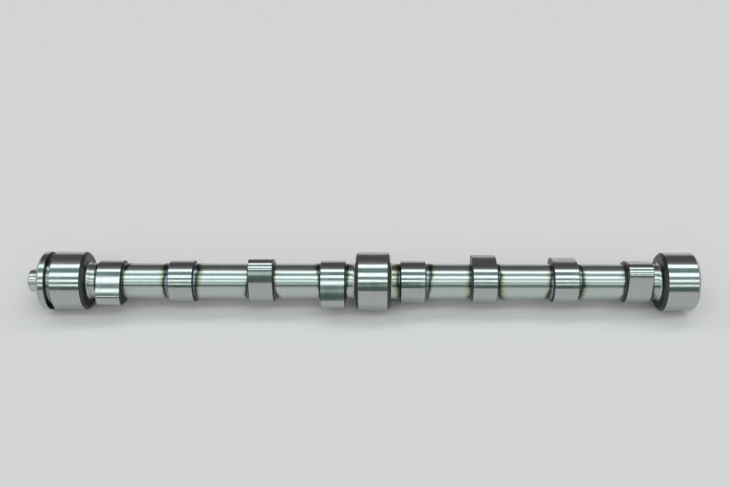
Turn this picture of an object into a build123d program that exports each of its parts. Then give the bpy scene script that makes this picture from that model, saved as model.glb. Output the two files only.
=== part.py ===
"""Camshaft of a four-cylinder pushrod engine, turned and ground from one piece of steel.

Millimetres.  The shaft lies along X: x = 0 is the face that the timing gear bolts to, +X runs
towards the rear of the engine and +Z is up.  The origin is on the shaft's axis.
"""

import os
from math import acos, degrees

from build123d import *

# Bearing journals: front, centre and rear
journal_diameter = 50.5
front_journal_width = 27.5
journal_width = 29.2
journal_spacing = 260.8  # middle of one journal to the middle of the next
journal_edge = 2.2  # chamfer round each rim
journal_root = 3.0  # fillet down to the shaft

# Gear end: spigot, flange, and the groove that the thrust plate sits in
spigot_diameter = 19.5
spigot_length = 12.4
spigot_edge = 1.2
flange_width = 6.9
groove_width = 4.8
groove_depth = 5.5
groove_edge = 0.3  # the thrust plate bears on the groove's sides, so its rims are nearly sharp
groove_root = 0.8

# Tapped holes for the bolts of the gear
bolt_count = 3
bolt_tap_drill = 6.8
bolt_mouth = 8.4
bolt_mouth_angle = 90.0
bolt_depth = 20.0

# Centre holes that the shaft was turned and ground between
centre_drill = 3.15
centre_mouth = 6.7
centre_mouth_angle = 60.0
centre_depth = 6.0

# Cam lobes: a base circle and a nose, joined by two curved flanks
lift = 6.9
nose_radius = 9.0
flank_radius = 45.0
lobe_clearance = 0.55  # nose inside the journals, so that the shaft slides in through its bearings
lobe_relief = 2.5  # base circle above the shaft, so that the grinding wheel clears it
lobe_width = 21.0
lobe_edge = 0.4  # chamfer round each side
lobe_root = 0.8  # bevel down to the shaft

# Valve gear: where the lobes stand along the shaft, and which way they point
cylinder_pitch = 130.4
valve_spacing = 61.4  # exhaust lobe to inlet lobe of one cylinder
lobe_separation = 104.0  # degrees from an exhaust nose on to its inlet nose
first_nose_angle = 186.0  # the first exhaust nose, in degrees about +X from +Y
firing_order = (1, 3, 4, 2)

# Sizes that follow from these
base_radius = journal_diameter / 2 - lobe_clearance - lift
shaft_diameter = 2 * (base_radius - lobe_relief)
groove_diameter = journal_diameter - 2 * groove_depth
bolt_circle = (spigot_diameter + groove_diameter) / 2

# Places along the shaft
front_journal_start = flange_width + groove_width
front_journal_end = front_journal_start + front_journal_width
centre_journal_x = front_journal_start + front_journal_width / 2 + journal_spacing
centre_journal_start = centre_journal_x - journal_width / 2
centre_journal_end = centre_journal_x + journal_width / 2
rear_journal_start = centre_journal_start + journal_spacing
rear_end = rear_journal_start + journal_width

# Faces that holes go into, each looking outwards
gear_face = Plane(origin=(0, 0, 0), x_dir=(0, 1, 0), z_dir=(-1, 0, 0))
spigot_face = gear_face.offset(spigot_length)
rear_face = Plane.YZ.offset(rear_end)

# The turned blank, as steps along the axis: start, end and diameter
turned_steps = (
    (-spigot_length, 0, spigot_diameter),
    (0, flange_width, journal_diameter),
    (flange_width, front_journal_start, groove_diameter),
    (front_journal_start, front_journal_end, journal_diameter),
    (front_journal_end, centre_journal_start, shaft_diameter),
    (centre_journal_start, centre_journal_end, journal_diameter),
    (centre_journal_end, rear_journal_start, shaft_diameter),
    (rear_journal_start, rear_end, journal_diameter),
)


def lobe_places():
    """The middle of each lobe along X, and the angle of its nose about +X from +Y."""
    cylinders = len(firing_order)
    places = []
    for cylinder in range(1, cylinders + 1):
        middle = centre_journal_x + (cylinder - (cylinders + 1) / 2) * cylinder_pitch
        nose_angle = first_nose_angle + firing_order.index(cylinder) * 360 / cylinders
        places.append((middle - valve_spacing / 2, nose_angle))
        places.append((middle + valve_spacing / 2, nose_angle + lobe_separation))
    return places


def corner_angle(side, other_side, opposite):
    """Degrees between two sides of a triangle, by the law of cosines."""
    return degrees(acos((side**2 + other_side**2 - opposite**2) / (2 * side * other_side)))


def corners_on(sketch, diameter):
    """The corners of a half profile that lie on one diameter, in order along the shaft."""
    radius = diameter / 2
    tolerance = 0.001
    corners = sketch.vertices().filter_by_position(Axis.Y, radius - tolerance, radius + tolerance)
    return corners.sort_by(Axis.X)


# Cam outline with its nose on +X: four arcs, each tangent to the next.  Tangent arcs have their
# centres in line with the point where they meet, so the centres of the base circle, the nose and
# a flank are a triangle with three known sides.
base_to_nose = base_radius + lift - nose_radius
base_to_flank = flank_radius - base_radius
nose_to_flank = flank_radius - nose_radius
half_action = 180 - corner_angle(base_to_nose, base_to_flank, nose_to_flank)
half_nose = corner_angle(base_to_nose, nose_to_flank, base_to_flank)
with BuildSketch() as cam:
    with BuildLine():
        base = CenterArc((0, 0), base_radius, half_action, 360 - 2 * half_action)
        nose = CenterArc((base_to_nose, 0), nose_radius, -half_nose, 2 * half_nose)
        RadiusArc(nose @ 1, base @ 0, -flank_radius)
        RadiusArc(base @ 1, nose @ 0, -flank_radius)
    make_face()

# One cam lobe, centred on the origin with its nose on +Y
with BuildPart() as lobe:
    with BuildSketch(Plane.YZ):
        add(cam.sketch)
    extrude(amount=lobe_width / 2, both=True)
    sides = faces().filter_by(Axis.X)
    chamfer([edge for side in sides for edge in side.edges()], lobe_edge)

with BuildPart() as camshaft:
    # Turned blank
    with BuildSketch(Plane.XZ) as blank:
        for start, end, diameter in turned_steps:
            with Locations((start, 0)):
                Rectangle(end - start, diameter / 2, align=Align.MIN)
        flange_rim, *groove_rims, front_rim = corners_on(blank, journal_diameter)[:4]
        journal_rims = [flange_rim, front_rim, *corners_on(blank, journal_diameter)[4:]]
        chamfer(journal_rims, journal_edge)
        chamfer(groove_rims, groove_edge)
        fillet(corners_on(blank, shaft_diameter), journal_root)
        fillet(corners_on(blank, groove_diameter), groove_root)
        chamfer(corners_on(blank, spigot_diameter).first, spigot_edge)
    revolve(axis=Axis.X)

    # Lobes, each with a bevel where it meets the shaft
    for middle, nose_angle in lobe_places():
        with Locations(Location((middle, 0, 0), (nose_angle, 0, 0))):
            add(lobe.part)
        chamfer(edges(Select.NEW), lobe_root)

    # Tapped holes in the gear's face
    with Locations(gear_face):
        with PolarLocations(bolt_circle / 2, bolt_count, start_angle=90):
            CounterSinkHole(bolt_tap_drill / 2, bolt_mouth / 2, bolt_depth, bolt_mouth_angle)

    # Centre holes in both ends
    with Locations(spigot_face, rear_face):
        CounterSinkHole(centre_drill / 2, centre_mouth / 2, centre_depth, centre_mouth_angle)

camshaft.part.label = "camshaft"
os.makedirs("parts", exist_ok=True)
export_step(camshaft.part, "parts/camshaft.step")
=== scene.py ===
"""Finished look of a four-cylinder pushrod engine's camshaft, in metres.

The steel is one closed surface, worked out ring by ring along the shaft and bored for the bolts
of the timing gear.  The shaft lies along X, with its gear end at -X.
"""

from math import acos, cos, pi, radians, sin, tan

import bmesh
import bpy
import numpy as np
from bpy.props import (
    FloatProperty,
    FloatVectorProperty,
    IntProperty,
    IntVectorProperty,
    PointerProperty,
)
from mathutils import Euler, Matrix, Vector


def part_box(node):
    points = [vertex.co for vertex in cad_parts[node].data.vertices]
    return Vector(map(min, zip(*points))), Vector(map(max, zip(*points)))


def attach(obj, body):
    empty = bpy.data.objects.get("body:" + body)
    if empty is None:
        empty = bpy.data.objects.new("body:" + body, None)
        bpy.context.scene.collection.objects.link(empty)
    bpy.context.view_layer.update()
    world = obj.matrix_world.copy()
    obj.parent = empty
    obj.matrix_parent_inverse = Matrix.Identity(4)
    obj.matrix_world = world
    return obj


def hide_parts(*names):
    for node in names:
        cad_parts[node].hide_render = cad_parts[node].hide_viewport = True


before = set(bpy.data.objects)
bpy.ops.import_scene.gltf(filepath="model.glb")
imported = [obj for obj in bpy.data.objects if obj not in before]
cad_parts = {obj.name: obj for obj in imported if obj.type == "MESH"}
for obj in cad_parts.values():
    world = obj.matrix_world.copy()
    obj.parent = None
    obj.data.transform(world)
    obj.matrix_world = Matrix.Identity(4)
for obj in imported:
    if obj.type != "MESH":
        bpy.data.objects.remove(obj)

bl_info = {
    "name": "Engine camshaft",
    "version": (1, 0, 0),
    "blender": (4, 5, 0),
    "location": "3D View > Sidebar > Camshaft",
    "description": "Builds a turned and ground camshaft with its finishes, floor, lamps and camera",
    "category": "Object",
}

MM = 0.001
MICRON = 1e-6
BODY = "root"
SOLID = "camshaft"
LOW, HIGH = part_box(SOLID)

# Finishes, in the order of the body's material slots
# The side finish is painted shade: a near-black colour for the dark reflection that sides and
# chamfers show
GROUND, TURNED, SHADED_SIDE, FACED, HOLE, THREAD = range(6)

# How finely the surfaces are divided
JOURNAL_ROOT_STEPS = 8
GROOVE_ROOT_STEPS = 5
CUTTER_COLUMNS = 48
RINGS_PER_THREAD = 8

# Limits that the surfaces are made and sorted by
ROOT_MARGIN = 0.3 * MM  # cylinder past a root, so that the rest of it shades straight
CUTTER_MARGIN = 0.5 * MM  # how far a cutter stands out of the face
THREAD_FLAT = 0.1  # share of a sharp thread's height that its crests lose, and its roots too
# A band this steep takes the side colour, which is painted shade, unless it lies at an end face
STEEP = 0.98  # rise over run from which a band of the surface belongs to a side
SLACK = 1 * MICRON  # allowed when sizes are compared
SAME_POINT = 0.1 * MICRON  # points nearer than this are merged
SHARP_EDGE = radians(25)  # an edge that turns by more shades sharp

# Noise on the steel, in cells per metre along X, Y and Z
GRINDING_LINES = (1700, 20, 20)
GRINDING_PATCHES = (160, 30, 30)
GRINDING_WAVES = (70, 45, 45)
TURNING_LINES = (1400, 20, 20)
HEAT_EDGES = (60, 90, 90)
HEAT_PATCHES = (25, 50, 50)
REAMING_LINES = (1500, 30, 30)
OIL_PATCHES = (500, 300, 300)
FACING_RINGS = 2200  # the same, outwards from the axis
NOISE_LOW, NOISE_HIGH = 0.3, 0.7  # where most of a noise lies
COOL_BELOW, HOT_ABOVE = 0.35, 0.6  # limits on the noise of the heat's patches

# Steel's temper colours, from the coolest to the hottest
TEMPER_COLOURS = (
    (0.2, (0.46, 0.5, 0.38)),
    (0.34, (0.29, 0.31, 0.22)),
    (0.44, (0.09, 0.09, 0.077)),
    (0.58, (0.045, 0.057, 0.065)),
    (0.68, (0.12, 0.17, 0.19)),
    (0.78, (0.31, 0.37, 0.4)),
    (1, (0.29, 0.35, 0.37)),
)

# The room's colours from the floor in front (0), over the top (0.5), to the floor behind (1)
ROOM_COLOURS = (
    (0.03, (0.08, 0.07, 0.06)),
    (0.07, (0.105, 0.17, 0.14)),
    (0.17, (0.11, 0.18, 0.155)),
    (0.21, (0.155, 0.25, 0.235)),
    (0.32, (0.26, 0.34, 0.34)),
    (0.49, (0.21, 0.35, 0.345)),
    (0.65, (0.38, 0.365, 0.38)),
    (0.7, (0.21, 0.195, 0.2)),
    (0.77, (0.125, 0.115, 0.115)),
    (1, (0.145, 0.13, 0.13)),
)
# The room is plain low down and endwise: limits on Z and on X of a direction of length 1
PLAIN_BELOW, COLOURED_ABOVE = 0.09, 0.11
COLOURED_WITHIN, PLAIN_BEYOND = 0.75, 0.9


def length(name, description, default):
    """A length in metres."""
    return FloatProperty(
        name=name, description=description, default=default, min=0, precision=5, unit="LENGTH"
    )


def angle(name, description, default):
    """An angle, given in degrees and kept in radians."""
    return FloatProperty(
        name=name, description=description, default=radians(default), unit="ROTATION"
    )


def colour(name, description, default):
    """A colour, red, green and blue from 0 to 1."""
    return FloatVectorProperty(
        name=name,
        description=description,
        default=default,
        size=3,
        min=0,
        max=1,
        subtype="COLOR",
    )


def share(name, description, default):
    """A share from 0 to 1."""
    return FloatProperty(
        name=name, description=description, default=default, min=0, max=1, subtype="FACTOR"
    )


def brightness(name, description, default):
    """The radiance of a lamp."""
    return FloatProperty(name=name, description=description, default=default, min=0)


def camera_length(name, description, default):
    """A length inside the camera, in millimetres."""
    return FloatProperty(
        name=name, description=description, default=default, min=1, unit="CAMERA"
    )


class CamshaftSizes(bpy.types.PropertyGroup):
    """The sizes that the steel is cut to."""

    journal_diameter: length("Journal diameter", "Across each bearing journal", 50.5 * MM)
    front_journal_width: length("Front journal width", "Along the front journal", 27.5 * MM)
    journal_width: length("Journal width", "Along the centre and rear journals", 29.2 * MM)
    journal_spacing: length("Journal spacing", "From one journal's middle to the next", 260.8 * MM)
    journal_edge: length("Journal edge", "Chamfer round each rim", 2.2 * MM)
    journal_root: length("Journal root", "Fillet from a journal's side down to the shaft", 3 * MM)

    spigot_diameter: length("Spigot diameter", "Across the spigot that the gear sits on", 19.5 * MM)
    spigot_length: length("Spigot length", "From the gear's face to the end of the spigot", -LOW.x)
    spigot_edge: length("Spigot edge", "Chamfer round the end of the spigot", 1.2 * MM)
    flange_width: length("Flange width", "Along the flange that the gear bolts to", 6.9 * MM)
    groove_width: length("Groove width", "Along the thrust plate's groove", 4.8 * MM)
    groove_depth: length("Groove depth", "From the flange's rim to the groove's bottom", 5.5 * MM)
    groove_edge: length("Groove edge", "Chamfer round each rim of the groove", 0.3 * MM)
    groove_root: length("Groove root", "Fillet in each corner of the groove", 0.8 * MM)

    bolt_count: IntProperty(
        name="Bolts",
        description="Tapped holes in the gear's face",
        default=3,
        min=1,
    )
    tap_drill: length("Tap drill", "Across the drilled hole that is tapped", 6.8 * MM)
    thread_diameter: length("Thread diameter", "Across the roots of the thread", 8 * MM)
    thread_pitch: length("Thread pitch", "One turn of the thread", 1.25 * MM)
    thread_length: length("Thread length", "Depth that the tap reaches", 16 * MM)
    bolt_mouth: length("Bolt mouth", "Across the countersunk mouth of a tapped hole", 8.4 * MM)
    bolt_depth: length("Bolt depth", "Depth of a tapped hole", 20 * MM)

    centre_drill: length("Centre drill", "Across the bottom of a centre hole", 3.15 * MM)
    centre_mouth: length("Centre mouth", "Across the mouth of a centre hole", 6.7 * MM)
    centre_cone: angle("Centre cone", "Full angle of a centre hole's mouth", 60)
    centre_depth: length("Centre depth", "Depth of a centre hole", 6 * MM)

    lift: length("Lift", "How far a nose stands above the base circle", 6.9 * MM)
    nose_radius: length("Nose radius", "Of the arc round a lobe's nose", 9 * MM)
    flank_radius: length("Flank radius", "Of the arc from the base circle to the nose", 45 * MM)
    lobe_clearance: length("Lobe clearance", "From a nose out to the journals' diameter", 0.55 * MM)
    lobe_relief: length("Lobe relief", "From the shaft out to the base circle", 2.5 * MM)
    lobe_width: length("Lobe width", "Along a lobe", 21 * MM)
    lobe_edge: length("Lobe edge", "Chamfer round each side of a lobe", 0.4 * MM)
    lobe_root: length("Lobe root", "Bevel from a lobe's side down to the shaft", 0.8 * MM)
    heat_margin: length("Heat margin", "Shaft beside a lobe that heat may have coloured", 10 * MM)

    cylinder_pitch: length("Cylinder pitch", "One cylinder to the next", 130.4 * MM)
    valve_spacing: length("Valve spacing", "Exhaust lobe to inlet lobe of a cylinder", 61.4 * MM)
    lobe_separation: angle("Lobe separation", "From an exhaust nose on to its inlet nose", 104)
    first_nose: angle("First nose", "Where the first exhaust nose points, about +X from +Y", 186)
    firing_order: IntVectorProperty(
        name="Firing order",
        description="The cylinders, in the order in which they fire",
        default=(1, 3, 4, 2),
        size=4,
        min=1,
    )

    columns: IntProperty(name="Columns", description="Points round each ring", default=400, min=24)


class CamshaftFinish(bpy.types.PropertyGroup):
    """Colours and roughness of the steel."""

    steel: colour("Steel", "Bare ground steel", (0.48, 0.51, 0.5))
    turned: colour("Turned steel", "The shaft between the lobes", (0.55, 0.6, 0.58))
    # Painted shade: the side colour is near black for the dark reflection of the sides, not the
    # steel's own colour
    side: colour("Side steel with painted shade", "Sides of the lobes and journals", (0.075, 0.082, 0.079))
    faced: colour("Faced steel", "End faces of the shaft", (0.41, 0.43, 0.425))
    thread: colour("Thread steel", "Tapped holes, with cutting oil left in them", (0.2, 0.19, 0.17))
    ground_roughness: share("Ground roughness", "Roughness of the ground surfaces", 0.19)
    line_share: share("Line share", "Height of the grinding lines, over that of the waves", 0.03)
    turned_roughness: share("Turned roughness", "Roughness of the shaft", 0.29)
    least_roughness: share("Least roughness", "Of faces, sides, holes and threads", 0.3)
    face_roughness: share("Face roughness", "Most roughness of faces, sides and threads", 0.42)
    hole_roughness: share("Hole roughness", "Most roughness of the centre holes", 0.4)
    lathe_lines: share("Lathe lines", "How much more light scatters along X than round it", 0.8)
    heat_reach: length("Heat reach", "How far heat coloured the shaft, opposite a nose", 8.5 * MM)
    heat_least: length("Least heat reach", "How far heat coloured it under a nose", 2.5 * MM)
    heat_wander: share("Heat wander", "How far the heat's edge wanders, over its reach", 0.35)
    heat_loss: share("Heat loss", "How much weaker the heat is where it is patchy", 0.4)


class CamshaftStage(bpy.types.PropertyGroup):
    """Floor, lamps and camera."""

    floor_colour: colour("Floor", "Plain matt floor", (0.9, 0.83, 0.835))
    floor_roughness: share("Floor roughness", "Roughness of the floor", 0.9)
    floor_shine: share("Floor shine", "How much the floor reflects at all", 0.1)
    floor_reach: length("Floor reach", "From the middle of the floor to its edges", 12)
    room_colour: colour("Room", "The room low down and at both ends", (0.66, 0.665, 0.66))

    lamp_colour: colour("Lamps", "Colour of the lamps", (0.96, 1, 1))
    lamp_distance: length("Lamp distance", "From the shaft to each lamp", 20)
    lamp_lean: angle("Lamp lean", "How far the lamps turn out of line with the shaft", 7.4)
    high_brightness: brightness("High brightness", "Of the front, top and back lamps", 1.95)
    high_length: length("High length", "Along the front, top and back lamps", 40)
    front_elevation: angle("Front elevation", "From -Y up to the front lamp", 46)
    front_half_width: angle("Front half width", "Half of what the front lamp fills", 4.2)
    top_elevation: angle("Top elevation", "From -Y up to the top lamp", 70)
    back_elevation: angle("Back elevation", "From -Y over the top to the back lamp", 106)
    top_half_width: angle("Top half width", "Half of what the top and back lamps each fill", 7.2)
    low_brightness: brightness("Low brightness", "Of the left and right lamps", 1.8)
    low_length: length("Low length", "Along the left and right lamps", 12)
    left_elevation: angle("Left elevation", "From -Y up to the left lamp", 25.5)
    right_elevation: angle("Right elevation", "From -Y up to the right lamp", 31)
    low_half_width: angle("Low half width", "Half of what the left and right lamps each fill", 3.6)
    low_offset: length("Low offset", "Along X from the shaft's middle to a low lamp", 9)

    lens: camera_length("Lens", "Focal length", 45.09)
    sensor: camera_length("Sensor", "Width of the camera's sensor", 36)
    camera_place: FloatVectorProperty(
        name="Camera place",
        description="Where the camera stands",
        default=(0.2928, -0.5651, 0.5592),
        size=3,
        subtype="TRANSLATION",
        unit="LENGTH",
    )
    camera_pitch: angle("Camera pitch", "How far the camera looks down", 42.33)
    camera_yaw: angle("Camera yaw", "How far the camera turns right of +Y", -1.32)
    camera_roll: angle("Camera roll", "How far the camera leans", -0.79)


# ---------------------------------------------------------------- shapes


def corner_angle(side, other_side, opposite):
    """Angle between two sides of a triangle, by the law of cosines."""
    return acos((side**2 + other_side**2 - opposite**2) / (2 * side * other_side))


def lobe_places(sizes):
    """Middle of each lobe along X, and the angle of its nose about +X from +Y, as two arrays."""
    order = list(sizes.firing_order)
    cylinder = np.arange(len(order))
    front = sizes.flange_width + sizes.groove_width + sizes.front_journal_width / 2
    centre = front + sizes.journal_spacing
    middle = centre + (cylinder - (len(order) - 1) / 2) * sizes.cylinder_pitch
    turn = np.array([order.index(n + 1) for n in cylinder])
    exhaust = sizes.first_nose + turn * 2 * pi / len(order)
    middles = np.stack([middle - sizes.valve_spacing / 2, middle + sizes.valve_spacing / 2], axis=1)
    noses = np.stack([exhaust, exhaust + sizes.lobe_separation], axis=1)
    return middles.ravel(), noses.ravel()


def base_radius(sizes):
    """Radius of a lobe's base circle: its nose just passes through the journals' bearings."""
    return sizes.journal_diameter / 2 - sizes.lobe_clearance - sizes.lift


def cam_outline(turn, inset, sizes):
    """Points of a cam, as (along the nose, across it), for normals that turn away from the nose.

    The outline is a nose arc, two flank arcs and a base circle, each tangent to the next.  Every
    direction of the normal belongs to one arc, and the point is that arc's centre plus its radius,
    less the inset, along the normal.
    """
    base = base_radius(sizes)
    nose_along = base + sizes.lift - sizes.nose_radius
    base_to_flank = sizes.flank_radius - base
    nose_to_flank = sizes.flank_radius - sizes.nose_radius
    half_action = pi - corner_angle(nose_along, base_to_flank, nose_to_flank)
    half_nose = corner_angle(nose_along, nose_to_flank, base_to_flank)

    turn = (turn + pi) % (2 * pi) - pi
    on_nose = np.abs(turn) <= half_nose
    on_flank = ~on_nose & (np.abs(turn) < half_action)
    along = np.select([on_nose, on_flank], [nose_along, -base_to_flank * cos(half_action)], 0)
    across = np.where(on_flank, -base_to_flank * sin(half_action) * np.sign(turn), 0)
    radius = np.select([on_nose, on_flank], [sizes.nose_radius, sizes.flank_radius], base) - inset
    return along + radius * np.cos(turn), across + radius * np.sin(turn)


def root_fillet(x, way, floor, radius, steps):
    """Profile points of a quarter round from a side at x down to a cylinder, way being +1 or -1.

    With t from 0 to 90 degrees, x + way radius (1 - cos t) and floor + radius (1 - sin t).
    """
    t = np.linspace(0, pi / 2, steps + 1)
    return np.stack([x + way * radius * (1 - np.cos(t)), floor + radius * (1 - np.sin(t))], axis=1)


def shoulder(x, way, rim, edge, floor, root, steps):
    """Profile points from a rim over its chamfer, down its side at x and round its root.

    The last point lies a little past the root, so that the cylinder beyond it shades straight.
    """
    chamfer = [(x - way * edge, rim), (x, rim - edge)]
    fillet = root_fillet(x, way, floor, root, steps)
    past = [(x + way * (root + ROOT_MARGIN), floor)]
    return np.concatenate([chamfer, fillet, past])


def body_rings(sizes):
    """Every ring of the body from end to end, as arrays of x, of radius and of cam.

    A round ring's cam is NaN.  A ring of a lobe has the inset of its outline as its cam.
    """
    rim, edge, root = sizes.journal_diameter / 2, sizes.journal_edge, sizes.journal_root
    shaft = base_radius(sizes) - sizes.lobe_relief
    spigot, spigot_end = sizes.spigot_diameter / 2, -sizes.spigot_length
    groove = rim - sizes.groove_depth
    drill, mouth = sizes.centre_drill / 2, sizes.centre_mouth / 2
    cone = (mouth - drill) / tan(sizes.centre_cone / 2)
    groove_end = sizes.flange_width + sizes.groove_width
    front_end = groove_end + sizes.front_journal_width
    centre = groove_end + sizes.front_journal_width / 2 + sizes.journal_spacing
    centre_start, centre_end = centre - sizes.journal_width / 2, centre + sizes.journal_width / 2
    rear_start, rear_end = centre_start + sizes.journal_spacing, centre_end + sizes.journal_spacing

    def groove_side(x, way):
        fillet = sizes.groove_root
        return shoulder(x, way, rim, sizes.groove_edge, groove, fillet, GROOVE_ROOT_STEPS)

    def journal_side(x, way):
        return shoulder(x, way, rim, edge, shaft, root, JOURNAL_ROOT_STEPS)

    front = [
        [(spigot_end + sizes.centre_depth, 0), (spigot_end + sizes.centre_depth, drill)],
        [(spigot_end + cone, drill), (spigot_end, mouth)],
        [(spigot_end, spigot - sizes.spigot_edge), (spigot_end + sizes.spigot_edge, spigot)],
        [(0, spigot), (0, rim - edge), (edge, rim)],
        groove_side(sizes.flange_width, 1),
        groove_side(groove_end, -1)[::-1],
        journal_side(front_end, 1),
    ]
    centre_journal = [
        journal_side(centre_start, -1)[::-1],
        journal_side(centre_end, 1),
    ]
    rear = [
        journal_side(rear_start, -1)[::-1],
        [(rear_end - edge, rim), (rear_end, rim - edge)],
        [(rear_end, mouth), (rear_end - cone, drill)],
        [(rear_end - sizes.centre_depth, drill), (rear_end - sizes.centre_depth, 0)],
    ]

    half, bevel, lobe_edge = sizes.lobe_width / 2, sizes.lobe_root, sizes.lobe_edge
    side = np.array(
        [
            (half - lobe_edge, np.nan, 0),
            (half, np.nan, lobe_edge),
            (half, shaft + bevel, np.nan),
            (half + bevel, shaft, np.nan),
            (half + sizes.heat_margin, shaft, np.nan),
        ]
    )
    lobe = np.concatenate([side[::-1] * (-1, 1, 1), side])

    def steps(parts):
        points = np.concatenate(parts)
        return np.column_stack([points, np.full(len(points), np.nan)])

    front, centre_journal, rear = steps(front), steps(centre_journal), steps(rear)
    lobes = [lobe + (middle, 0, 0) for middle in lobe_places(sizes)[0]]
    half_way = len(lobes) // 2
    bays = [(front, lobes[:half_way], centre_journal), (centre_journal, lobes[half_way:], rear)]
    rings = [front]
    for before, inside, after in bays:
        inside = np.concatenate(inside)
        clear = (inside[:, 0] > before[-1, 0]) & (inside[:, 0] < after[0, 0])
        rings += [inside[clear], after]
    return np.concatenate(rings).T


def body_surface(sizes):
    """Points of the body on a grid of rings and columns, with its gap, its heel and its finishes.

    A round ring is x, radius cos a, radius sin a, with a the column's angle.  On a ring of a lobe,
    a is the direction of the outline's normal instead, so rings and lobes share their columns.
    The gap is the distance along X to the side of the nearest lobe, and the heel goes from 0 under
    that lobe's nose to 1 opposite it.  A finish belongs to the band between two rings.
    """
    x, radius, inset = body_rings(sizes)
    middles, noses = lobe_places(sizes)
    nearest = np.abs(x[:, None] - middles).argmin(axis=1)
    a = np.linspace(0, 2 * pi, sizes.columns, endpoint=False)[None, :]
    nose = noses[nearest][:, None]
    along, across = cam_outline(a - nose, np.nan_to_num(inset)[:, None], sizes)
    on_lobe = ~np.isnan(inset)[:, None]
    y = np.where(on_lobe, along * np.cos(nose) - across * np.sin(nose), radius[:, None] * np.cos(a))
    z = np.where(on_lobe, along * np.sin(nose) + across * np.cos(nose), radius[:, None] * np.sin(a))
    points = np.stack(np.broadcast_arrays(x[:, None], y, z), axis=-1)

    gap = np.abs(x - middles[nearest]) - sizes.lobe_width / 2
    gap = np.broadcast_to(gap[:, None], y.shape)
    heel = (1 - np.cos(a - nose)) / 2

    height = np.where(on_lobe[:, 0], base_radius(sizes) - inset, radius)
    steep = np.abs(np.diff(height)) > STEEP * np.abs(np.diff(x))
    hole = np.fmax(height[1:], height[:-1]) <= sizes.centre_mouth / 2 + SLACK
    lobe_band = on_lobe[1:, 0] & on_lobe[:-1, 0]
    journal = np.fmin(height[1:], height[:-1]) >= sizes.journal_diameter / 2 - SLACK
    reach = sizes.journal_edge + SLACK
    end = (x[1:] <= reach) | (x[:-1] >= x.max() - reach)
    conditions = [hole, steep & end, steep, lobe_band | journal]
    # Sides, chamfers and the steep half of each root take the side colour, which is painted shade
    finish = np.select(conditions, [HOLE, FACED, SHADED_SIDE, GROUND], TURNED)
    return points, gap, heel, finish


def thread_surface(sizes):
    """Points of one tapped hole's cutter, centred on X, from outside the face to the bottom.

    The radius at depth d and angle a is the drill's, plus the thread's height times a triangle
    wave of d / pitch - a / one turn, cut flat at its crests and roots.  The height fades in under
    the mouth and out at the tap's end.
    """
    drill, outer, mouth = sizes.tap_drill / 2, sizes.thread_diameter / 2, sizes.bolt_mouth / 2
    cone = mouth - drill
    depth = np.arange(cone, sizes.thread_length, sizes.thread_pitch / RINGS_PER_THREAD)[:, None]
    a = np.linspace(0, 2 * pi, CUTTER_COLUMNS, endpoint=False)[None, :]
    wave = np.abs((depth / sizes.thread_pitch - a / (2 * pi)) % 1 * 2 - 1)
    fade = np.clip((depth - cone) / sizes.thread_pitch, 0, 1)
    fade = fade * np.clip((sizes.thread_length - depth) / sizes.thread_pitch, 0, 1)
    flattened = np.clip((wave - THREAD_FLAT) / (1 - 2 * THREAD_FLAT), 0, 1)
    thread = drill + (outer - drill) * fade * flattened

    ends = np.ones_like(a)
    top, bottom = -CUTTER_MARGIN, sizes.bolt_depth
    depths = [top, top, *depth[:, 0], sizes.thread_length, bottom, bottom]
    rows = [0 * ends, (mouth - top) * ends, thread, drill * ends, drill * ends, 0 * ends]
    depth, radius = np.array(depths)[:, None], np.concatenate(rows)
    return np.stack(np.broadcast_arrays(depth, radius * np.cos(a), radius * np.sin(a)), axis=-1)


def skin(name, grids):
    """Mesh of one or more grids of points, each closed round its columns and at its end rings."""
    points, faces = [], []
    for grid in grids:
        rows, columns = grid.shape[:2]
        start = sum(len(p) for p in points)
        index = start + np.arange(rows * columns).reshape(rows, columns)
        beside = np.roll(index, -1, axis=1)
        quads = np.stack([index[:-1], beside[:-1], beside[1:], index[1:]], axis=-1)
        points.append(grid.reshape(-1, 3))
        faces.append(quads.reshape(-1, 4))
    mesh = bpy.data.meshes.new(name)
    mesh.from_pydata(np.concatenate(points), [], np.concatenate(faces).tolist())
    return mesh


def close_poles(mesh):
    """Merges the points of each ring that has shrunk to one, and turns every face outwards."""
    work = bmesh.new()
    work.from_mesh(mesh)
    bmesh.ops.remove_doubles(work, verts=work.verts, dist=SAME_POINT)
    bmesh.ops.recalc_face_normals(work, faces=work.faces)
    work.to_mesh(mesh)
    work.free()


def attribute(mesh, name, values):
    """One number at each point of a mesh, for its materials to read."""
    layer = mesh.attributes.new(name, "FLOAT", "POINT")
    layer.data.foreach_set("value", np.ascontiguousarray(values, dtype=np.float32).ravel())


def new_object(mesh):
    """An object that shows a mesh, at the origin."""
    obj = bpy.data.objects.new(mesh.name, mesh)
    bpy.context.scene.collection.objects.link(obj)
    return obj


# ------------------------------------------------------------- materials


def node(tree, kind, **inputs):
    """A node with its inputs set to numbers, or linked where a socket is given.

    Words in an input's name are joined by underscores.
    """
    made = tree.nodes.new("ShaderNode" + kind)
    for name, value in inputs.items():
        socket = made.inputs[name.replace("_", " ")]
        if isinstance(value, bpy.types.NodeSocket):
            tree.links.new(value, socket)
        else:
            socket.default_value = value
    return made


def maths(tree, operation, *values):
    """The result of a Math node."""
    made = tree.nodes.new("ShaderNodeMath")
    made.operation = operation
    for socket, value in zip(made.inputs, values):
        if isinstance(value, bpy.types.NodeSocket):
            tree.links.new(value, socket)
        else:
            socket.default_value = value
    return made.outputs[0]


def ramp(tree, factor, stops):
    """A Color Ramp through (position, colour) stops."""
    made = tree.nodes.new("ShaderNodeValToRGB")
    tree.links.new(factor, made.inputs["Fac"])
    elements = made.color_ramp.elements
    while len(elements) < len(stops):
        elements.new(0.5)
    for element, (position, tint) in zip(elements, stops):
        element.position = position
        element.color = (*tint, 1)
    return made.outputs["Color"]


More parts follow.
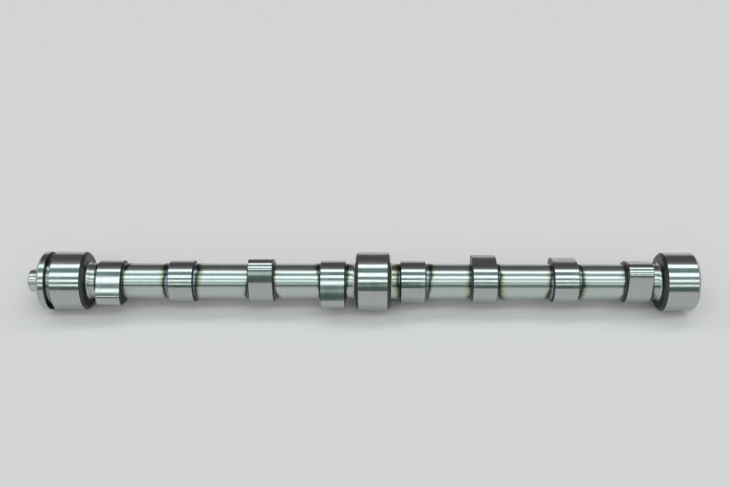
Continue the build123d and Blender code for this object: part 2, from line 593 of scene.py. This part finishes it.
def ranged(tree, value, low, high, to_low, to_high):
    """A value stretched from one range to another, and held at its ends."""
    made = node(
        tree, "MapRange", Value=value, From_Min=low, From_Max=high, To_Min=to_low, To_Max=to_high
    )
    return made.outputs["Result"]


def spread(tree, noise, low, high):
    """A value that follows a noise from low to high."""
    return ranged(tree, noise, NOISE_LOW, NOISE_HIGH, low, high)


def streaks(tree, scale, detail):
    """Noise stretched by scale (x, y, z), in cells per metre."""
    place = node(tree, "TexCoord").outputs["Object"]
    stretched = node(tree, "Mapping", Vector=place, Scale=scale).outputs["Vector"]
    noise = node(tree, "TexNoise", Vector=stretched, Scale=1, Detail=detail, Roughness=0.6)
    return noise.outputs["Fac"]


def lathe_rings(tree, cells):
    """Noise that depends only on the distance from the shaft's axis, in cells per metre."""
    place = node(tree, "TexCoord").outputs["Object"]
    flat = node(tree, "Mapping", Vector=place, Scale=(0, 1, 1)).outputs["Vector"]
    made = tree.nodes.new("ShaderNodeVectorMath")
    made.operation = "LENGTH"
    tree.links.new(flat, made.inputs[0])
    noise = tree.nodes.new("ShaderNodeTexNoise")
    noise.noise_dimensions = "1D"
    tree.links.new(made.outputs["Value"], noise.inputs["W"])
    noise.inputs["Scale"].default_value = cells
    noise.inputs["Detail"].default_value = 2
    return noise.outputs["Fac"]


def tinted(tree, tint, value, low, high):
    """A colour made darker or lighter: tint times low where the value is 0, times high at 1."""
    if isinstance(tint, bpy.types.NodeSocket):
        level = ranged(tree, value, 0, 1, low, high)
        made = tree.nodes.new("ShaderNodeVectorMath")
        made.operation = "SCALE"
        tree.links.new(tint, made.inputs[0])
        tree.links.new(level, made.inputs["Scale"])
        return made.outputs["Vector"]
    return ramp(tree, value, [(0, [c * low for c in tint]), (1, [c * high for c in tint])])


def metal(name, build, lathe_lines=0):
    """A metal whose colour, roughness, height and bump's depth come from build(tree).

    The lines that the lathe or the grinding wheel left round the shaft scatter light along X more
    than round it.
    """
    material = bpy.data.materials.new(name)
    material.use_nodes = True
    tree = material.node_tree
    shader = tree.nodes["Principled BSDF"]
    shader.inputs["Metallic"].default_value = 1
    if lathe_lines:
        shader.inputs["Anisotropic"].default_value = lathe_lines
        tree.links.new(node(tree, "CombineXYZ", X=1).outputs["Vector"], shader.inputs["Tangent"])
    tint, roughness, height, bump = build(tree)
    tree.links.new(tint, shader.inputs["Base Color"])
    tree.links.new(roughness, shader.inputs["Roughness"])
    normal = node(tree, "Bump", Height=height, Strength=1, Distance=bump).outputs["Normal"]
    tree.links.new(normal, shader.inputs["Normal"])
    return material


def ground_steel(finish):
    """Ground running surfaces: bright, with fine grinding lines round the shaft."""

    def build(tree):
        lines = streaks(tree, GRINDING_LINES, 4)
        patches = streaks(tree, GRINDING_PATCHES, 2)
        waves = streaks(tree, GRINDING_WAVES, 1)
        rough = finish.ground_roughness
        tint = tinted(tree, finish.steel, lines, 0.82, 1.12)
        roughness = spread(tree, patches, 0.8 * rough, 1.25 * rough)
        height = maths(tree, "MULTIPLY_ADD", lines, finish.line_share, waves)
        return tint, roughness, height, 14 * MICRON

    return metal("Ground steel", build, finish.lathe_lines)


def turned_steel(finish):
    """The shaft between the lobes: satin, with turning lines, and coloured by heat near each lobe.

    Heat falls to 0 at the end of its reach, which is longest opposite the nose.  At a lobe's side
    it is 1, or less in patches.
    """

    def build(tree):
        gap = node(tree, "Attribute")
        gap.attribute_name = "gap"
        heel = node(tree, "Attribute")
        heel.attribute_name = "heel"
        edges = streaks(tree, HEAT_EDGES, 2)
        wander = spread(tree, edges, 1 - finish.heat_wander, 1 + finish.heat_wander)
        reach = ranged(tree, heel.outputs["Fac"], 0, 1, finish.heat_least, finish.heat_reach)
        reach = maths(tree, "MULTIPLY", reach, wander)
        heat = maths(tree, "SUBTRACT", 1, maths(tree, "DIVIDE", gap.outputs["Fac"], reach))
        patches = streaks(tree, HEAT_PATCHES, 1)
        peak = ranged(tree, patches, COOL_BELOW, HOT_ABOVE, 1 - finish.heat_loss, 1)
        heat = maths(tree, "MULTIPLY", heat, peak)
        lines = streaks(tree, TURNING_LINES, 3)
        rough = finish.turned_roughness
        temper = ramp(tree, heat, [(0, finish.turned), *TEMPER_COLOURS])
        tint = tinted(tree, temper, lines, 0.93, 1.06)
        roughness = spread(tree, lines, 0.97 * rough, 1.03 * rough)
        return tint, roughness, lines, 0.4 * MICRON

    return metal("Turned steel", build, finish.lathe_lines)


def faced(name, tint_of_steel, finish):
    """A face cut square on the lathe, with rings round the axis."""

    def build(tree):
        rings = lathe_rings(tree, FACING_RINGS)
        tint = tinted(tree, tint_of_steel, rings, 0.75, 1.2)
        roughness = spread(tree, rings, finish.least_roughness, finish.face_roughness)
        return tint, roughness, rings, 4 * MICRON

    return metal(name, build)


def shaded_side_steel(finish):
    """Sides of the lobes and journals, with their chamfers and the steep half of their roots:
    painted shade, coloured near black for the dark reflection that they show.
    """
    return faced("Side steel with painted shade", finish.side, finish)


def faced_steel(finish):
    """Both end faces and their chamfers, cut bright."""
    return faced("Faced steel", finish.faced, finish)


def shaded_hole_steel(finish):
    """Drilled and reamed centre holes, darkened with the sides' near-black colour as painted shade
    in the recess.
    """

    def build(tree):
        lines = streaks(tree, REAMING_LINES, 2)
        # Painted shade: the tint is the sides' near-black colour
        tint = tinted(tree, finish.side, lines, 0.7, 1.1)
        roughness = spread(tree, lines, finish.least_roughness, finish.hole_roughness)
        return tint, roughness, lines, 2 * MICRON

    return metal("Hole steel with painted shade", build)


def thread_steel(finish):
    """Tapped threads, dark with cutting oil."""

    def build(tree):
        patches = streaks(tree, OIL_PATCHES, 3)
        tint = tinted(tree, finish.thread, patches, 0.7, 1.25)
        roughness = spread(tree, patches, finish.least_roughness, finish.face_roughness)
        return tint, roughness, patches, 3 * MICRON

    return metal("Thread steel", build)


# ------------------------------------------------------------- operators


class CAMSHAFT_OT_body(bpy.types.Operator):
    """Turn the shaft and grind its journals and lobes, as one closed surface"""

    bl_idname = "camshaft.body"
    bl_label = "Shaft and Lobes"

    def execute(self, context):
        points, gap, heel, finish = body_surface(context.scene.camshaft_sizes)
        mesh = skin("shaft_and_lobes", [points])
        attribute(mesh, "gap", gap)
        attribute(mesh, "heel", heel)
        finishes = np.repeat(finish, points.shape[1]).astype(np.int32)
        mesh.polygons.foreach_set("material_index", finishes)
        close_poles(mesh)
        looks = context.scene.camshaft_finish
        for make in (ground_steel, turned_steel, shaded_side_steel, faced_steel, shaded_hole_steel, thread_steel):
            mesh.materials.append(make(looks))
        body = new_object(mesh)
        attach(body, BODY)
        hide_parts(SOLID)
        return {"FINISHED"}


class CAMSHAFT_OT_bolt_holes(bpy.types.Operator):
    """Drill and tap the holes for the gear's bolts"""

    bl_idname = "camshaft.bolt_holes"
    bl_label = "Tapped Holes"

    def execute(self, context):
        sizes = context.scene.camshaft_sizes
        body = context.scene.objects["shaft_and_lobes"]
        circle = (sizes.spigot_diameter + sizes.journal_diameter - 2 * sizes.groove_depth) / 4
        hole = thread_surface(sizes)
        turns = -pi / 2 + np.arange(sizes.bolt_count) * 2 * pi / sizes.bolt_count
        holes = [hole + (0, circle * cos(turn), circle * sin(turn)) for turn in turns]
        mesh = skin("hole_cutters", holes)
        close_poles(mesh)
        mesh.materials.append(body.data.materials[THREAD])
        cutters = new_object(mesh)

        bore = body.modifiers.new("Tapped holes", "BOOLEAN")
        bore.operation = "DIFFERENCE"
        bore.solver = "EXACT"
        bore.material_mode = "TRANSFER"
        bore.object = cutters
        seen = body.evaluated_get(context.evaluated_depsgraph_get())
        bored = bpy.data.meshes.new_from_object(seen)
        body.modifiers.remove(bore)
        body.data = bored
        bored.name = body.name
        bpy.data.objects.remove(cutters)
        bored.shade_smooth()
        bored.set_sharp_from_angle(angle=SHARP_EDGE)
        if not any(p.material_index == THREAD for p in bored.polygons):
            raise RuntimeError("the cutters missed the gear's face")
        return {"FINISHED"}


class CAMSHAFT_OT_stage(bpy.types.Operator):
    """Lay the floor, hang the lamps and set up the camera"""

    bl_idname = "camshaft.stage"
    bl_label = "Floor, Lamps and Camera"

    def execute(self, context):
        stage = context.scene.camshaft_stage
        self.lay_floor(stage)
        self.colour_room(stage)
        middle = (LOW.x + HIGH.x) / 2
        for name, elevation, half_width in (
            ("front", stage.front_elevation, stage.front_half_width),
            ("top", stage.top_elevation, stage.top_half_width),
            ("back", stage.back_elevation, stage.top_half_width),
        ):
            lamp = self.new_lamp(stage, name, stage.high_length, half_width, stage.high_brightness)
            self.hang_lamp(stage, lamp, elevation, middle)
        for name, elevation, place in (
            ("left", stage.left_elevation, middle - stage.low_offset),
            ("right", stage.right_elevation, middle + stage.low_offset),
        ):
            half_width = stage.low_half_width
            lamp = self.new_lamp(stage, name, stage.low_length, half_width, stage.low_brightness)
            self.hang_lamp(stage, lamp, elevation, place)
        self.set_camera(context, stage)
        context.scene.view_settings.view_transform = "Standard"
        return {"FINISHED"}

    def lay_floor(self, stage):
        """A flat square floor that the journals rest on."""
        reach = stage.floor_reach
        corners = [(-reach, -reach), (reach, -reach), (reach, reach), (-reach, reach)]
        mesh = bpy.data.meshes.new("floor")
        mesh.from_pydata([(x, y, LOW.z) for x, y in corners], [], [(0, 1, 2, 3)])
        material = bpy.data.materials.new("Floor")
        material.use_nodes = True
        shader = material.node_tree.nodes["Principled BSDF"]
        shader.inputs["Base Color"].default_value = (*stage.floor_colour, 1)
        shader.inputs["Roughness"].default_value = stage.floor_roughness
        shader.inputs["Specular IOR Level"].default_value = stage.floor_shine
        mesh.materials.append(material)
        new_object(mesh)

    def colour_room(self, stage):
        """The room round the lamps, coloured by its elevation from -Y over the top to +Y.

        It is plain where it is low, and towards both ends of the shaft.
        """
        world = bpy.data.worlds.new("Room")
        world.use_nodes = True
        tree = world.node_tree
        direction = node(tree, "TexCoord").outputs["Generated"]
        parts = node(tree, "SeparateXYZ", Vector=direction).outputs
        towards = maths(tree, "MULTIPLY", parts["Y"], -1)
        elevation = maths(tree, "ARCTAN2", parts["Z"], towards)
        room = ramp(tree, maths(tree, "DIVIDE", elevation, pi), ROOM_COLOURS)
        along = maths(tree, "ABSOLUTE", parts["X"])
        low = ranged(tree, parts["Z"], PLAIN_BELOW, COLOURED_ABOVE, 1, 0)
        endwise = ranged(tree, along, COLOURED_WITHIN, PLAIN_BEYOND, 0, 1)
        plain = tree.nodes.new("ShaderNodeMix")
        plain.data_type = "RGBA"
        tree.links.new(maths(tree, "MAXIMUM", low, endwise), plain.inputs["Factor"])
        tree.links.new(room, plain.inputs["A"])
        plain.inputs["B"].default_value = (*stage.room_colour, 1)
        tree.links.new(plain.outputs["Result"], tree.nodes["Background"].inputs["Color"])
        bpy.context.scene.world = world

    def new_lamp(self, stage, name, along, half_width, radiance):
        """A soft lamp, along X by this much, that fills twice half_width, an angle, across."""
        lamp = bpy.data.lights.new(name + "_lamp", "AREA")
        lamp.shape = "RECTANGLE"
        lamp.size = along
        lamp.size_y = 2 * stage.lamp_distance * tan(half_width)
        lamp.energy = radiance * pi * lamp.size * lamp.size_y
        lamp.color = stage.lamp_colour
        return lamp

    def hang_lamp(self, stage, lamp, elevation, x):
        """Hangs a lamp over x, at an elevation from -Y over the top to +Y, facing the shaft."""
        obj = bpy.data.objects.new(lamp.name, lamp)
        reach = stage.lamp_distance
        place = Matrix.Translation((x, -reach * cos(elevation), reach * sin(elevation)))
        tilt = Matrix.Rotation(pi / 2 - elevation, 4, "X")
        obj.matrix_world = place @ tilt @ Matrix.Rotation(stage.lamp_lean, 4, "Z")
        bpy.context.scene.collection.objects.link(obj)

    def set_camera(self, context, stage):
        """A camera that looks down at the shaft, a little turned and leaning."""
        data = bpy.data.cameras.new("camera")
        data.lens = stage.lens
        data.sensor_width = stage.sensor
        camera = bpy.data.objects.new("camera", data)
        facing = Euler((pi / 2 - stage.camera_pitch, 0, -stage.camera_yaw)).to_matrix()
        facing = facing @ Matrix.Rotation(stage.camera_roll, 3, "Z")
        camera.matrix_world = Matrix.Translation(Vector(stage.camera_place)) @ facing.to_4x4()
        context.scene.collection.objects.link(camera)
        context.scene.camera = camera


class CAMSHAFT_PT_panel(bpy.types.Panel):
    """The camshaft's steps and sizes"""

    bl_label = "Camshaft"
    bl_idname = "CAMSHAFT_PT_panel"
    bl_space_type = "VIEW_3D"
    bl_region_type = "UI"
    bl_category = "Camshaft"

    def draw(self, context):
        for operator in (CAMSHAFT_OT_body, CAMSHAFT_OT_bolt_holes, CAMSHAFT_OT_stage):
            self.layout.operator(operator.bl_idname)
        for group in ("camshaft_sizes", "camshaft_finish", "camshaft_stage"):
            box = self.layout.box()
            values = getattr(context.scene, group)
            for name in values.__annotations__:
                box.prop(values, name)


CLASSES = (
    CamshaftSizes,
    CamshaftFinish,
    CamshaftStage,
    CAMSHAFT_OT_body,
    CAMSHAFT_OT_bolt_holes,
    CAMSHAFT_OT_stage,
    CAMSHAFT_PT_panel,
)


def register():
    """Adds the classes, and the scene's groups of settings."""
    for cls in CLASSES:
        bpy.utils.register_class(cls)
    bpy.types.Scene.camshaft_sizes = PointerProperty(type=CamshaftSizes)
    bpy.types.Scene.camshaft_finish = PointerProperty(type=CamshaftFinish)
    bpy.types.Scene.camshaft_stage = PointerProperty(type=CamshaftStage)


def unregister():
    """Takes away what register added."""
    del bpy.types.Scene.camshaft_stage
    del bpy.types.Scene.camshaft_finish
    del bpy.types.Scene.camshaft_sizes
    for cls in reversed(CLASSES):
        bpy.utils.unregister_class(cls)


def main():
    """Registers the add-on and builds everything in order."""
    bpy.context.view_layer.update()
    register()
    bpy.ops.camshaft.body()
    bpy.ops.camshaft.bolt_holes()
    bpy.ops.camshaft.stage()


if __name__ == "__main__":
    main()
